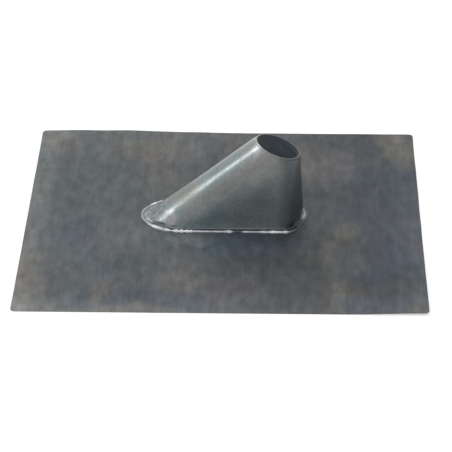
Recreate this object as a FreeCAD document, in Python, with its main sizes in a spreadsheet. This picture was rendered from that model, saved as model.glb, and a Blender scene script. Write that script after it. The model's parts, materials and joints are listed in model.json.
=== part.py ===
import FreeCAD, Part
import math
import os

import Sketcher
from FreeCAD import Placement, Rotation, Vector

# Zinc flashing tile: a flat sheet with an oblique tapered sleeve soldered over an oval opening.
# Frame: millimetres, +Z up, origin under the middle of the sheet. The sleeve's long ridge starts at
# its nose, on the -X side, and its steep heel is on the +X side, which lies up the roof.

# Driving dimensions
SIZES = {
    "plate_length": 500.0,
    "plate_width": 500.0,
    "plate_corner_radius": 6.0,
    "sheet_thickness": 0.8,
    "sleeve_setback": 3.0,
    "nose_reach": 98.0,
    "nose_length": 44.0,
    "nose_tip_radius": 28.0,
    "heel_reach": 101.0,
    "heel_length": 23.0,
    "heel_tip_radius": 62.0,
    "foot_half_width": 38.0,
    "flange_width": 6.0,
    "flange_bend_radius": 1.5,
    "mouth_reach": 68.0,
    "mouth_height": 99.5,
    "mouth_tilt": 20.0,
    "mouth_bore_radius": 27.5,
    "hem_gap": 0.7,
    "hem_depth": 1.2,
    "hem_bevel": 0.6,
    "lip_depth": 6.0,
    "nose_fold_angle": 31.0,
    "side_fold_angle": 24.0,
    "heel_fold_angle": 29.0,
    "lap_width": 12.0,
    "lap_bead_width": 2.0,
    "bead_half_width": 2.0,
    "bead_half_top": 0.8,
    "bead_height": 1.0,
}

# Sketcher's numbers for the points of an edge and for a sketch's own origin
START, END, CENTRE = 1, 2, 3
ORIGIN = (-1, 1)

UP = Vector(0, 0, 1)
FRONT, BACK = -1, 1
ZERO = "0"
SAME_PLACE = 1e-4
SAMPLES = 5

# Directions from the middle of an outline, as angles that rise all the way round it
NOSE_WAY, FRONT_WAY, HEEL_WAY, BACK_WAY = 180, 270, 360, 450
QUARTER_TURN = 90
QUARTER_TURN_TEXT = "90 deg"
# Every rounded bend of the sheet is made of this many narrow folds, which are nearly flat
BEND_FOLDS = 6

# The wall ends at the mouth in a bevelled bend, from which a lip is turned in and down
MOUTH_RADIUS = "(Sizes.mouth_bore_radius + 2 * Sizes.sheet_thickness + Sizes.hem_gap)"
# How far the ridge rises and runs from the nose to the mouth
RIDGE_RISE = "(Sizes.mouth_height + %s * sin(Sizes.mouth_tilt) - Sizes.sheet_thickness)" % MOUTH_RADIUS
RIDGE_RUN = "(Sizes.nose_reach + Sizes.mouth_reach - %s * cos(Sizes.mouth_tilt))" % MOUTH_RADIUS
# How much longer the ridge's wall is, measured level, than the sheet is thick
RIDGE_EXTRA = "Sizes.sheet_thickness * (hypot(%s; %s) / %s - 1)" % (RIDGE_RISE, RIDGE_RUN, RIDGE_RISE)

doc = FreeCAD.newDocument("flashing_tile")
sheet = doc.addObject("Spreadsheet::Sheet", "Sizes")
for row, (alias, number) in enumerate(SIZES.items(), start=1):
    sheet.set("A%d" % row, alias)
    sheet.set("B%d" % row, str(number))
    sheet.setAlias("B%d" % row, alias)
doc.recompute()


def size(alias):
    return float(sheet.get(alias))


def mouth_radius():
    return size("mouth_bore_radius") + 2 * size("sheet_thickness") + size("hem_gap")


# Bodies and sketches
def new_body(name):
    body = doc.addObject("PartDesign::Body", name)
    body.Label = name
    return body


def new_sketch(body, name, role="XY_Plane"):
    sketch = body.newObject("Sketcher::SketchObject", name)
    plane = next(feature for feature in body.Origin.OriginFeatures if feature.Role == role)
    sketch.AttachmentSupport = [(plane, "")]
    sketch.MapMode = "FlatFace"
    return sketch


def level_sketch(body, name, height):
    # A level sketch in line with the sleeve, at a height above the ground
    sketch = new_sketch(body, name)
    sketch.setExpression("AttachmentOffset.Base.y", "Sizes.sleeve_setback")
    sketch.setExpression("AttachmentOffset.Base.z", height)
    return sketch


def wall_end_sketch(body, name):
    # A sketch across the mouth's axis, where the wall ends and the bend of the hem begins
    sketch = new_sketch(body, name)
    sketch.AttachmentOffset = Placement(Vector(), Rotation(Vector(0, 1, 0), size("mouth_tilt")))
    run = "Sizes.hem_depth * sin(Sizes.mouth_tilt)"
    drop = "Sizes.hem_depth * cos(Sizes.mouth_tilt)"
    sketch.setExpression("AttachmentOffset.Base.x", "Sizes.mouth_reach - " + run)
    sketch.setExpression("AttachmentOffset.Base.y", "Sizes.sleeve_setback")
    sketch.setExpression("AttachmentOffset.Base.z", "Sizes.mouth_height - " + drop)
    sketch.setExpression("AttachmentOffset.Rotation.Angle", "Sizes.mouth_tilt")
    return sketch


def hem_sketch(body, name):
    # An upright sketch along the sleeve, from the middle of the mouth, with the mouth's axis as its own
    sketch = new_sketch(body, name, "XZ_Plane")
    sketch.AttachmentOffset = Placement(Vector(), Rotation(Vector(0, 0, -1), size("mouth_tilt")))
    sketch.setExpression("AttachmentOffset.Base.x", "Sizes.mouth_reach")
    sketch.setExpression("AttachmentOffset.Base.y", "Sizes.mouth_height")
    sketch.setExpression("AttachmentOffset.Base.z", "-Sizes.sleeve_setback")
    sketch.setExpression("AttachmentOffset.Rotation.Angle", "Sizes.mouth_tilt")
    return sketch


# Edges, ties and dimensions
def add_line(sketch, first, last):
    return sketch.addGeometry(Part.LineSegment(first, last), False)


def add_arc(sketch, centre, radius, first, last):
    circle = Part.Circle(centre, UP, radius)
    return sketch.addGeometry(Part.ArcOfCircle(circle, math.radians(first), math.radians(last)), False)


def tie(sketch, kind, *references):
    sketch.addConstraint(Sketcher.Constraint(kind, *references))


def dimension(sketch, kind, references, drawn, expression):
    # A dimension starts at the drawn size and then follows its expression
    index = sketch.addConstraint(Sketcher.Constraint(kind, *references, drawn))
    sketch.setExpression("Constraints[%d]" % index, expression)


def set_radius(sketch, edge, expression):
    dimension(sketch, "Radius", (edge,), sketch.Geometry[edge].Radius, expression)


def set_x(sketch, edge, point, expression):
    dimension(sketch, "DistanceX", (*ORIGIN, edge, point), sketch.getPoint(edge, point).x, expression)


def set_y(sketch, edge, point, expression):
    dimension(sketch, "DistanceY", (*ORIGIN, edge, point), sketch.getPoint(edge, point).y, expression)


def following(edges):
    return zip(edges, edges[1:] + edges[:1])


def add_bend(sketch, centre, radius, first, last, sweep_text):
    # A rounded bend: equal short arcs about one centre
    step = (last - first) / BEND_FOLDS
    starts = [first + step * number for number in range(BEND_FOLDS)]
    arcs = [add_arc(sketch, centre, radius, start, start + step) for start in starts]
    for arc, after in zip(arcs, arcs[1:]):
        tie(sketch, "Coincident", arc, END, after, START)
        tie(sketch, "Coincident", arc, CENTRE, after, CENTRE)
        dimension(sketch, "Angle", (arc,), math.radians(step), "(%s) / %d" % (sweep_text, BEND_FOLDS))
    return arcs


def join_bends(sketch, kind, bends):
    for bend, after in following(bends):
        tie(sketch, kind, bend[-1], END, after[0], START)


# Outlines
def draw_polygon(sketch, corners):
    # Each corner is a place and the expressions that hold it there
    places = [Vector(x, y, 0) for x, y, _, _ in corners]
    edges = [add_line(sketch, first, last) for first, last in following(places)]
    for edge, after in following(edges):
        tie(sketch, "Coincident", edge, END, after, START)
    for edge, (_, _, x_text, y_text) in zip(edges, corners):
        set_x(sketch, edge, START, x_text)
        set_y(sketch, edge, START, y_text)


def shoulder_room(end):
    # How far the straight side starts from the tip's centre, and how much wider than the tip it is
    tip_radius = size(end + "_tip_radius")
    return size(end + "_length") - tip_radius, size("foot_half_width") - tip_radius


def shoulder_sweep(end):
    # How far the shoulder of an end turns, to be tangent to the tip's bend and to the straight side
    lead, spare = shoulder_room(end)
    return 2 * math.degrees(math.atan(spare / lead))


def shoulder_sweep_text(end):
    lead = "(Sizes.{0}_length - Sizes.{0}_tip_radius)".format(end)
    spare = "(Sizes.foot_half_width - Sizes.{0}_tip_radius)".format(end)
    return "2 * atan(%s / %s)" % (spare, lead)


def shoulder_radius(end):
    lead, spare = shoulder_room(end)
    return size(end + "_tip_radius") + (lead ** 2 / spare + spare) / 2


def draw_foot(sketch, offset=0.0, offset_text=ZERO, nose_shift_text=ZERO):
    # The outline of the sleeve's foot, moved out by an offset. Each end is a tip bend between two
    # shoulder bends, and straight sides join the ends. Every offset keeps the same centres.
    half_width = size("foot_half_width")
    side = half_width + offset
    nose_x = size("nose_length") - size("nose_reach")
    heel_x = size("heel_reach") - size("heel_length")
    nose_sweep, heel_sweep = shoulder_sweep("nose"), shoulder_sweep("heel")

    def add_tip(end, x, way):
        turn = QUARTER_TURN - shoulder_sweep(end)
        turn_text = "(%s - %s)" % (QUARTER_TURN_TEXT, shoulder_sweep_text(end))
        radius = size(end + "_tip_radius") + offset
        return add_bend(sketch, Vector(x, 0, 0), radius, way - turn, way + turn, "2 * " + turn_text)

    def add_shoulder(end, x, facing, first, last):
        radius = shoulder_radius(end)
        centre = Vector(x, facing * (half_width - radius), 0)
        return add_bend(sketch, centre, radius + offset, first, last, shoulder_sweep_text(end))

    nose_tip = add_tip("nose", size("nose_tip_radius") - size("nose_reach"), NOSE_WAY)
    nose_front = add_shoulder("nose", nose_x, FRONT, FRONT_WAY - nose_sweep, FRONT_WAY)
    front_side = add_line(sketch, Vector(nose_x, -side, 0), Vector(heel_x, -side, 0))
    heel_front = add_shoulder("heel", heel_x, FRONT, FRONT_WAY, FRONT_WAY + heel_sweep)
    heel_tip = add_tip("heel", size("heel_reach") - size("heel_tip_radius"), HEEL_WAY)
    heel_back = add_shoulder("heel", heel_x, BACK, BACK_WAY - heel_sweep, BACK_WAY)
    back_side = add_line(sketch, Vector(heel_x, side, 0), Vector(nose_x, side, 0))
    nose_back = add_shoulder("nose", nose_x, BACK, BACK_WAY, BACK_WAY + nose_sweep)
    join_bends(sketch, "Tangent", [nose_tip, nose_front, [front_side], heel_front,
                                   heel_tip, heel_back, [back_side], nose_back])
    for line in (front_side, back_side):
        tie(sketch, "Horizontal", line)

    nose_x_text = "Sizes.nose_length - Sizes.nose_reach + %s" % nose_shift_text
    heel_x_text = "Sizes.heel_reach - Sizes.heel_length"
    side_text = "Sizes.foot_half_width + %s" % offset_text
    set_x(sketch, front_side, START, nose_x_text)
    set_x(sketch, front_side, END, heel_x_text)
    set_y(sketch, front_side, START, "-(%s)" % side_text)
    set_x(sketch, back_side, START, heel_x_text)
    set_x(sketch, back_side, END, nose_x_text)
    set_y(sketch, back_side, START, side_text)
    set_x(sketch, nose_tip[0], CENTRE, "Sizes.nose_tip_radius - Sizes.nose_reach + %s" % nose_shift_text)
    set_x(sketch, heel_tip[0], CENTRE, "Sizes.heel_reach - Sizes.heel_tip_radius")
    set_radius(sketch, nose_tip[0], "Sizes.nose_tip_radius + %s" % offset_text)
    set_radius(sketch, heel_tip[0], "Sizes.heel_tip_radius + %s" % offset_text)
    for tip in (nose_tip, heel_tip):
        set_y(sketch, tip[0], CENTRE, ZERO)


def draw_mouth(sketch, radius, radius_text):
    # The round mouth, in the same bends as the foot, so that every fold of the sheet runs straight
    # from the foot to the mouth.
    nose, side, heel = (size(name) for name in ("nose_fold_angle", "side_fold_angle", "heel_fold_angle"))
    nose_text = "-(%s) * cos(Sizes.nose_fold_angle)" % radius_text
    heel_text = "(%s) * cos(Sizes.heel_fold_angle)" % radius_text
    side_text = "(%s) * sin(Sizes.side_fold_angle)" % radius_text
    nose_sweep_text = "2 deg * Sizes.nose_fold_angle"
    heel_sweep_text = "2 deg * Sizes.heel_fold_angle"
    nose_side_text = QUARTER_TURN_TEXT + " - 1 deg * (Sizes.nose_fold_angle + Sizes.side_fold_angle)"
    heel_side_text = QUARTER_TURN_TEXT + " - 1 deg * (Sizes.heel_fold_angle + Sizes.side_fold_angle)"

    def add_part(first, last, sweep_text):
        return add_bend(sketch, Vector(), radius, first, last, sweep_text)

    def add_side(way):
        return [add_arc(sketch, Vector(), radius, way - side, way + side)]

    bends = [
        add_part(NOSE_WAY - nose, NOSE_WAY + nose, nose_sweep_text),
        add_part(NOSE_WAY + nose, FRONT_WAY - side, nose_side_text),
        add_side(FRONT_WAY),
        add_part(FRONT_WAY + side, HEEL_WAY - heel, heel_side_text),
        add_part(HEEL_WAY - heel, HEEL_WAY + heel, heel_sweep_text),
        add_part(HEEL_WAY + heel, BACK_WAY - side, heel_side_text),
        add_side(BACK_WAY),
        add_part(BACK_WAY + side, BACK_WAY + QUARTER_TURN - nose, nose_side_text),
    ]
    join_bends(sketch, "Coincident", bends)
    for bend in bends[:-1]:
        tie(sketch, "Coincident", bend[0], CENTRE, *ORIGIN)
    tie(sketch, "Equal", bends[0][0], bends[-1][0])
    set_radius(sketch, bends[0][0], radius_text)
    front_starts = [nose_text, nose_text, "-" + side_text, side_text]
    back_starts = [heel_text, heel_text, side_text, "-" + side_text]
    for bend, x_text in zip(bends, front_starts + back_starts):
        set_x(sketch, bend[0], START, x_text)


def draw_hem(sketch):
    # The section of the hem: a bend over the end of the wall, bevelled on top, and the lip that hangs
    # from it. Heights are measured down from the mouth.
    bore, outer = size("mouth_bore_radius"), mouth_radius()
    thickness, depth = size("sheet_thickness"), size("hem_depth")
    bevel, lip = size("hem_bevel"), size("lip_depth")
    bore_text, lip_back_text = "Sizes.mouth_bore_radius", "Sizes.mouth_bore_radius + Sizes.sheet_thickness"
    wall_back_text = MOUTH_RADIUS + " - Sizes.sheet_thickness"
    draw_polygon(sketch, [
        (bore, -lip, bore_text, "-Sizes.lip_depth"),
        (bore + thickness, -lip, lip_back_text, "-Sizes.lip_depth"),
        (bore + thickness, -thickness, lip_back_text, "-Sizes.sheet_thickness"),
        (outer - thickness, -thickness, wall_back_text, "-Sizes.sheet_thickness"),
        (outer - thickness, -depth, wall_back_text, "-Sizes.hem_depth"),
        (outer, -depth, MOUTH_RADIUS, "-Sizes.hem_depth"),
        (outer, -bevel, MOUTH_RADIUS, "-Sizes.hem_bevel"),
        (outer - bevel, 0, MOUTH_RADIUS + " - Sizes.hem_bevel", ZERO),
        (bore + bevel, 0, bore_text + " + Sizes.hem_bevel", ZERO),
        (bore, -bevel, bore_text, "-Sizes.hem_bevel"),
    ])


def draw_lap(sketch, centre_x, radius, centre_text, radius_text):
    # A curved strip on the outside of the heel, sunk by half a sheet into the wall that carries it
    thickness = size("sheet_thickness")
    width = size("lap_width")
    centre = Vector(centre_x, 0, 0)

    def add_strip_arc(reach):
        return add_arc(sketch, centre, reach, 0, math.degrees(math.asin(width / reach)))

    inside = add_strip_arc(radius - thickness / 2)
    outside = add_strip_arc(radius + thickness)
    for point, y_text in ((START, ZERO), (END, "Sizes.lap_width")):
        edge = add_line(sketch, sketch.getPoint(inside, point), sketch.getPoint(outside, point))
        tie(sketch, "Coincident", edge, START, inside, point)
        tie(sketch, "Coincident", edge, END, outside, point)
        set_y(sketch, inside, point, y_text)
        set_y(sketch, outside, point, y_text)
    tie(sketch, "Coincident", inside, CENTRE, outside, CENTRE)
    set_x(sketch, inside, CENTRE, centre_text)
    set_y(sketch, inside, CENTRE, ZERO)
    set_radius(sketch, inside, "%s - Sizes.sheet_thickness / 2" % radius_text)
    set_radius(sketch, outside, "%s + Sizes.sheet_thickness" % radius_text)


def draw_lap_bead(sketch, centre_x, radius, centre_text, radius_text):
    # A wedge of solder from the top of the lapped edge down into the wall beside it
    thickness = size("sheet_thickness")
    inner_y = size("lap_width")
    outer_y = inner_y + size("lap_bead_width")
    inner_text = "Sizes.lap_width"
    outer_text = "(Sizes.lap_width + Sizes.lap_bead_width)"
    sunk_text = "(%s - Sizes.sheet_thickness / 2)" % radius_text
    proud_text = "(%s + Sizes.sheet_thickness)" % radius_text

    def corner(reach, y, reach_text, y_text):
        x_text = "%s + sqrt(%s ^ 2 - %s ^ 2)" % (centre_text, reach_text, y_text)
        return (centre_x + math.sqrt(reach ** 2 - y ** 2), y, x_text, y_text)

    draw_polygon(sketch, [
        corner(radius - thickness / 2, inner_y, sunk_text, inner_text),
        corner(radius + thickness, inner_y, proud_text, inner_text),
        corner(radius - thickness / 2, outer_y, sunk_text, outer_text),
    ])


# Features
def add_loft(body, name, kind, first, last):
    # Straight folds between two sketches of matching edges
    loft = body.newObject("PartDesign::" + kind, name)
    loft.Profile = first
    loft.Sections = [last]
    loft.Ruled = True
    doc.recompute()


def add_heel_loft(body, name, draw):
    # A strip up the heel, drawn the same way at the foot and at the end of the wall
    foot = level_sketch(body, name + "_at_foot", "Sizes.sheet_thickness")
    heel_centre = size("heel_reach") - size("heel_tip_radius")
    heel_text = "Sizes.heel_reach - Sizes.heel_tip_radius"
    draw(foot, heel_centre, size("heel_tip_radius"), heel_text, "Sizes.heel_tip_radius")
    wall_end = wall_end_sketch(body, name + "_at_mouth")
    draw(wall_end, 0.0, mouth_radius(), ZERO, MOUTH_RADIUS)
    add_loft(body, name, "AdditiveLoft", foot, wall_end)


def add_pad(body, name, sketch, length_text):
    pad = body.newObject("PartDesign::Pad", name)
    pad.Profile = sketch
    pad.setExpression("Length", length_text)
    doc.recompute()
    return pad


def add_fillet(body, name, base, chosen, radius_text):
    names = ["Edge%d" % number for number, edge in enumerate(base.Shape.Edges, start=1) if chosen(edge)]
    fillet = body.newObject("PartDesign::Fillet", name)
    fillet.Base = (base, names)
    fillet.setExpression("Radius", radius_text)
    doc.recompute()


def lies_in_plane(edge, point, normal):
    return all(abs((place - point).dot(normal)) < SAME_PLACE for place in edge.discretize(SAMPLES))


def bounds_folded_wall(shape, edge):
    walls = [face for face in shape.Faces if face.Surface.TypeId == "Part::GeomBSplineSurface"]
    return any(edge.isSame(side) for wall in walls for side in wall.Edges)


# Sub-parts
def make_base_plate():
    body = new_body("base_plate")
    half_length, half_width = size("plate_length") / 2, size("plate_width") / 2
    half_length_text, half_width_text = "Sizes.plate_length / 2", "Sizes.plate_width / 2"
    outline = new_sketch(body, "plate_outline")
    draw_polygon(outline, [
        (-half_length, -half_width, "-" + half_length_text, "-" + half_width_text),
        (half_length, -half_width, half_length_text, "-" + half_width_text),
        (half_length, half_width, half_length_text, half_width_text),
        (-half_length, half_width, "-" + half_length_text, half_width_text),
    ])
    plain_sheet = add_pad(body, "plain_sheet", outline, "Sizes.sheet_thickness")
    add_fillet(body, "rounded_corners", plain_sheet, lambda edge: edge.BoundBox.ZLength > SAME_PLACE,
               "Sizes.plate_corner_radius")
    opening = level_sketch(body, "opening_outline", ZERO)
    draw_foot(opening, -size("sheet_thickness"), "-Sizes.sheet_thickness")
    cut = body.newObject("PartDesign::Pocket", "oval_opening")
    cut.Profile = opening
    cut.Type = "ThroughAll"
    cut.Midplane = True
    doc.recompute()
    return body


def make_sleeve():
    body = new_body("sleeve")
    thickness = size("sheet_thickness")

    foot = level_sketch(body, "foot_outline", "Sizes.sheet_thickness")
    draw_foot(foot)
    wall_end = wall_end_sketch(body, "wall_end_outline")
    draw_mouth(wall_end, mouth_radius(), MOUTH_RADIUS)
    add_loft(body, "folded_hood", "AdditiveLoft", foot, wall_end)

    flange_outline = level_sketch(body, "flange_outline", "Sizes.sheet_thickness")
    draw_foot(flange_outline, size("flange_width"), "Sizes.flange_width")
    flange = add_pad(body, "turned_out_flange", flange_outline, "Sizes.sheet_thickness")
    flange_top = Vector(0, 0, 2 * thickness)
    add_fillet(body, "flange_bend", flange,
               lambda edge: lies_in_plane(edge, flange_top, UP) and bounds_folded_wall(flange.Shape, edge),
               "Sizes.flange_bend_radius")

    inner_foot = level_sketch(body, "inner_foot_outline", "Sizes.sheet_thickness")
    draw_foot(inner_foot, -thickness, "-Sizes.sheet_thickness", RIDGE_EXTRA)
    inner_end = wall_end_sketch(body, "inner_wall_end_outline")
    draw_mouth(inner_end, mouth_radius() - thickness, MOUTH_RADIUS + " - Sizes.sheet_thickness")
    add_loft(body, "hollow", "SubtractiveLoft", inner_foot, inner_end)

    hem_section = hem_sketch(body, "hem_section")
    draw_hem(hem_section)
    hem = body.newObject("PartDesign::Revolution", "turned_in_hem")
    hem.Profile = hem_section
    hem.ReferenceAxis = (hem_section, ["V_Axis"])
    doc.recompute()

    add_heel_loft(body, "lapped_edge", draw_lap)
    return body


def make_solder(name, run, sleeve):
    # Solder fills only the room that the sleeve leaves it
    solder = doc.addObject("Part::Cut", name)
    solder.Label = name
    solder.Base = run
    solder.Tool = sleeve
    doc.recompute()
    return solder


def make_flange_solder(sleeve):
    # A bevelled run of solder round the edge of the flange, lying on the plate
    body = new_body("flange_solder_run")
    path = level_sketch(body, "flange_edge", "Sizes.sheet_thickness")
    draw_foot(path, size("flange_width"), "Sizes.flange_width")
    half_width, half_top = size("bead_half_width"), size("bead_half_top")
    edge_y = size("sleeve_setback") - size("foot_half_width") - size("flange_width")
    foot_z = size("sheet_thickness")
    top_z = 2 * foot_z + size("bead_height")
    edge_text = "Sizes.sleeve_setback - Sizes.foot_half_width - Sizes.flange_width"
    foot_text = "Sizes.sheet_thickness"
    top_text = "2 * Sizes.sheet_thickness + Sizes.bead_height"
    section = new_sketch(body, "bead_section", "YZ_Plane")
    draw_polygon(section, [
        (edge_y - half_width, foot_z, edge_text + " - Sizes.bead_half_width", foot_text),
        (edge_y + half_width, foot_z, edge_text + " + Sizes.bead_half_width", foot_text),
        (edge_y + half_top, top_z, edge_text + " + Sizes.bead_half_top", top_text),
        (edge_y - half_top, top_z, edge_text + " - Sizes.bead_half_top", top_text),
    ])
    run = body.newObject("PartDesign::AdditivePipe", "bevelled_run")
    run.Profile = section
    run.Spine = path
    doc.recompute()
    return make_solder("flange_solder", body, sleeve)


def make_lap_solder(sleeve):
    body = new_body("lap_solder_run")
    add_heel_loft(body, "wedge_run", draw_lap_bead)
    return make_solder("lap_solder", body, sleeve)


def check_and_write(nodes):
    doc.recompute()
    for item in doc.Objects:
        if "Invalid" in item.State or "Error" in item.State:
            raise RuntimeError("%s failed: %s" % (item.Label, item.State))
    for node in nodes:
        if node.Shape.isNull() or not node.Shape.isValid():
            raise RuntimeError("%s has no valid shape" % node.Label)
    os.makedirs("parts", exist_ok=True)
    for node in nodes:
        node.Shape.exportStep("parts/%s.step" % node.Label)
        print("%s: %d solid, %.1f mm3" % (node.Label, len(node.Shape.Solids), node.Shape.Volume))


base_plate = make_base_plate()
sleeve = make_sleeve()
check_and_write([base_plate, sleeve, make_flange_solder(sleeve), make_lap_solder(sleeve)])
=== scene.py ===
import json
import math
from collections import namedtuple

import bpy
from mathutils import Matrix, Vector, noise


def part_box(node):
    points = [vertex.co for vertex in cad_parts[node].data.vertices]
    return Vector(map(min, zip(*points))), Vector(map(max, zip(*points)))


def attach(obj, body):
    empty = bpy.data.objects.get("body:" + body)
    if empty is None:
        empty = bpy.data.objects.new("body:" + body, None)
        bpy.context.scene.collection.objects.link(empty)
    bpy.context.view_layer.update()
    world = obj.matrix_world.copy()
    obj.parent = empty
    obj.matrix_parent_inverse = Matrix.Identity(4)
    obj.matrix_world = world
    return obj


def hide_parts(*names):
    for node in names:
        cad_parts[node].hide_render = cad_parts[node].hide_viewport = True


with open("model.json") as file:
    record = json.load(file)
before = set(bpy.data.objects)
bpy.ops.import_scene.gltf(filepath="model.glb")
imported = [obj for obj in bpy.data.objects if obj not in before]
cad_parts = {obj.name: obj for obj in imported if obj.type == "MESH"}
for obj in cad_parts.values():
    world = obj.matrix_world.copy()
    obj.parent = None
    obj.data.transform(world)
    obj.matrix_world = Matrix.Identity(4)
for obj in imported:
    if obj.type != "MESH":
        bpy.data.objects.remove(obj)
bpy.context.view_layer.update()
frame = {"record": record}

# Zinc flashing tile, dressed round its CAD frame. Metres, +Z up, the sleeve's long ridge towards -X.

MM = 0.001
ALONG, ACROSS, UP = Vector((1, 0, 0)), Vector((0, 1, 0)), Vector((0, 0, 1))

# Sizes of the sheet and of the sleeve's foot, from the frame
_, plate_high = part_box("base_plate")
sleeve_low, sleeve_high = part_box("sleeve")
SHEET = plate_high.z
FLANGE = 6 * MM
SETBACK = (sleeve_low.y + sleeve_high.y) / 2
SLEEVE_MIDDLE = Vector((0, SETBACK, 0))
HALF_WIDTH = (sleeve_high.y - sleeve_low.y) / 2 - FLANGE
NOSE_REACH = -sleeve_low.x - FLANGE
HEEL_REACH = sleeve_high.x - FLANGE

# The foot's bends, and the angles at the mouth of the folds that run up from them
NOSE_LENGTH, NOSE_RADIUS, NOSE_FOLD = 44 * MM, 28 * MM, 31
HEEL_LENGTH, HEEL_RADIUS, HEEL_FOLD = 23 * MM, 62 * MM, 29
SIDE_FOLD = 24
NOSE_WAY, FRONT_WAY, HEEL_WAY, BACK_WAY, NOSE_AGAIN = 180, 270, 360, 450, 540
QUARTER_TURN = 90
BEND_STEPS, SIDE_STEPS = 40, 130

# The heel's front corner is cut in by hand: how far, and the turns from the heel over which it comes and goes
CORNER_CUT = 5.3 * MM
CUT_COMES, CUT_GOES = (-8, 22), (25, 85)

# The mouth, from the frame's mount, which lies in the middle of the lip
mount = next(mount for mount in frame["record"]["mounts"] if mount["name"] == "mast_mouth")
MOUTH_AXIS = Vector(mount["axis"])
MOUTH_BORE = mount["dims"]["r_mm"] * MM
LIP_LENGTH = mount["dims"]["length_mm"] * MM
HEM_BEVEL, HEM_DEPTH, HEM_GAP = 0.6 * MM, 1.2 * MM, 0.7 * MM
HEM_HALF = SHEET + HEM_GAP / 2
MOUTH_RADIUS = MOUTH_BORE + 2 * HEM_HALF
LIP_DEPTH = HEM_BEVEL + LIP_LENGTH
MOUTH_CENTRE = Vector(mount["pos_m"]) + MOUTH_AXIS * (HEM_BEVEL + LIP_LENGTH / 2)
MOUTH_DOWNHILL = Vector((MOUTH_AXIS.z, 0, -MOUTH_AXIS.x))

# One place round the sleeve: a point of the foot, the way out from it, and its fold's angle at the mouth
Station = namedtuple("Station", "foot out mouth_angle")


def lerp(first, last, share):
    return first + (last - first) * share


def smooth_step(low, high, value):
    share = min(max((value - low) / (high - low), 0.0), 1.0)
    return share * share * (3 - 2 * share)


def around(middle, half):
    return middle - half, middle + half


# The sleeve's outline
def shoulder(length, tip_radius):
    # The sweep in degrees and the radius of the bend between a tip and the straight side
    lead, spare = length - tip_radius, HALF_WIDTH - tip_radius
    sweep = 2 * math.degrees(math.atan(spare / lead))
    return sweep, tip_radius + (lead ** 2 / spare + spare) / 2


def bend_stations(centre, radius, sweep, folds):
    stations = []
    for step in range(BEND_STEPS):
        share = step / BEND_STEPS
        angle = math.radians(lerp(*sweep, share))
        out = Vector((math.cos(angle), math.sin(angle), 0))
        stations.append(Station(centre + out * radius, out, math.radians(lerp(*folds, share))))
    return stations


def side_stations(first, last, out, folds):
    shares = [step / SIDE_STEPS for step in range(SIDE_STEPS)]
    return [Station(lerp(first, last, share), out, math.radians(lerp(*folds, share))) for share in shares]


def sleeve_stations():
    nose_sweep, nose_shoulder = shoulder(NOSE_LENGTH, NOSE_RADIUS)
    heel_sweep, heel_shoulder = shoulder(HEEL_LENGTH, HEEL_RADIUS)
    nose_turn, heel_turn = QUARTER_TURN - nose_sweep, QUARTER_TURN - heel_sweep
    nose_x, heel_x = NOSE_LENGTH - NOSE_REACH, HEEL_REACH - HEEL_LENGTH

    def place(x, y):
        return Vector((x, SETBACK + y, 0))

    return (
        bend_stations(place(NOSE_RADIUS - NOSE_REACH, 0), NOSE_RADIUS,
                      around(NOSE_WAY, nose_turn), around(NOSE_WAY, NOSE_FOLD))
        + bend_stations(place(nose_x, nose_shoulder - HALF_WIDTH), nose_shoulder,
                        (FRONT_WAY - nose_sweep, FRONT_WAY), (NOSE_WAY + NOSE_FOLD, FRONT_WAY - SIDE_FOLD))
        + side_stations(place(nose_x, -HALF_WIDTH), place(heel_x, -HALF_WIDTH), -ACROSS,
                        around(FRONT_WAY, SIDE_FOLD))
        + bend_stations(place(heel_x, heel_shoulder - HALF_WIDTH), heel_shoulder,
                        (FRONT_WAY, FRONT_WAY + heel_sweep), (FRONT_WAY + SIDE_FOLD, HEEL_WAY - HEEL_FOLD))
        + bend_stations(place(HEEL_REACH - HEEL_RADIUS, 0), HEEL_RADIUS,
                        around(HEEL_WAY, heel_turn), around(HEEL_WAY, HEEL_FOLD))
        + bend_stations(place(heel_x, HALF_WIDTH - heel_shoulder), heel_shoulder,
                        (BACK_WAY - heel_sweep, BACK_WAY), (HEEL_WAY + HEEL_FOLD, BACK_WAY - SIDE_FOLD))
        + side_stations(place(heel_x, HALF_WIDTH), place(nose_x, HALF_WIDTH), ACROSS,
                        around(BACK_WAY, SIDE_FOLD))
        + bend_stations(place(nose_x, HALF_WIDTH - nose_shoulder), nose_shoulder,
                        (BACK_WAY, BACK_WAY + nose_sweep), (BACK_WAY + SIDE_FOLD, NOSE_AGAIN - NOSE_FOLD))
    )


def corner_cut(station):
    turn = -math.degrees(math.atan2(station.out.y, station.out.x))
    return CORNER_CUT * smooth_step(*CUT_COMES, turn) * (1 - smooth_step(*CUT_GOES, turn))


def foot_point(station, offset, height):
    return station.foot + station.out * (offset - corner_cut(station)) + UP * height


def mouth_out(station):
    angle = station.mouth_angle
    return MOUTH_DOWNHILL * math.cos(angle) + ACROSS * math.sin(angle)


def mouth_point(station, radius, rise):
    return MOUTH_CENTRE + mouth_out(station) * radius + MOUTH_AXIS * rise


# Meshes
SHARP_ANGLE = 50


def ring_faces(here, there, count):
    # The faces between two rings of points, from the number of each ring's first point
    sides = [(column, (column + 1) % count) for column in range(count)]
    return [(here + column, here + after, there + after, there + column) for column, after in sides]


def smooth_mesh(name, rows, faces, inside_faces=0):
    # The faces of the inside are the last ones, and have the piece's second material
    mesh = bpy.data.meshes.new(name)
    mesh.from_pydata([point for row in rows for point in row], [], faces)
    for face in mesh.polygons[len(faces) - inside_faces:]:
        face.material_index = 1
    mesh.validate()
    mesh.update()
    mesh.shade_smooth()
    mesh.set_sharp_from_angle(angle=math.radians(SHARP_ANGLE))
    return mesh


def loop_mesh(name, rows, inside_rows=0):
    # A closed skin through rings of points, of which the last joins the first
    count = len(rows[0])
    faces = []
    for row in range(len(rows)):
        faces += ring_faces(row * count, (row + 1) % len(rows) * count, count)
    return smooth_mesh(name, rows, faces, inside_rows * count)


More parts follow.
